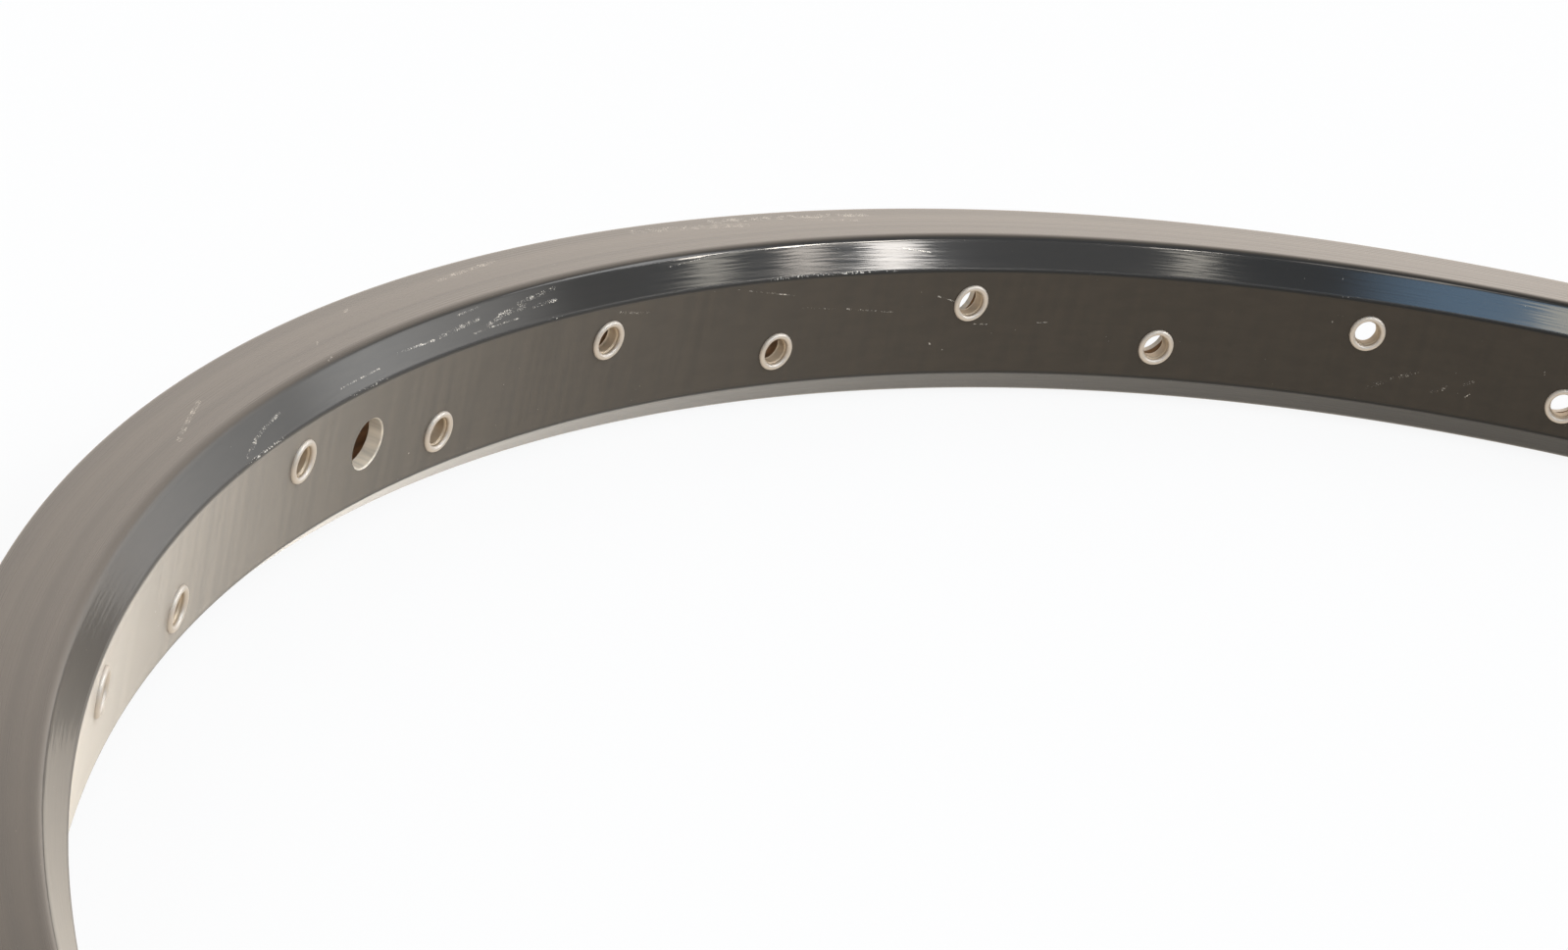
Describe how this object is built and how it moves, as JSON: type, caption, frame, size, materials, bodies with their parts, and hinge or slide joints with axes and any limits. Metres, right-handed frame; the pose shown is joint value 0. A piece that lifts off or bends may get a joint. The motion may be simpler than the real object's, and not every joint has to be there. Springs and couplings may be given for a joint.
{
  "type": "bicycle rim",
  "caption": "Bare bicycle wheel rim: hollow double-wall aluminium hoop, black anodised, with staggered plated eyelets for spokes, a drilled valve hole and hooked flanges for a tyre.",
  "frame": {"origin": "centre of the hoop, on the wheel's axle line at the middle of the rim's width", "axes": "+Z along the axle line, -X through the valve hole, +X through the butt seam"},
  "size_m": [0.5193, 0.5194, 0.0316],
  "materials": {
    "anodised_hoop": "satin",
    "plated_eyelets": "satin",
    "plain_sleeve": "satin"
  },
  "bodies": {
    "root": {"rim_hoop": "anodised_hoop", "eyelets": "plated_eyelets", "joint_sleeve": "plain_sleeve"}
  },
  "joints": []
}
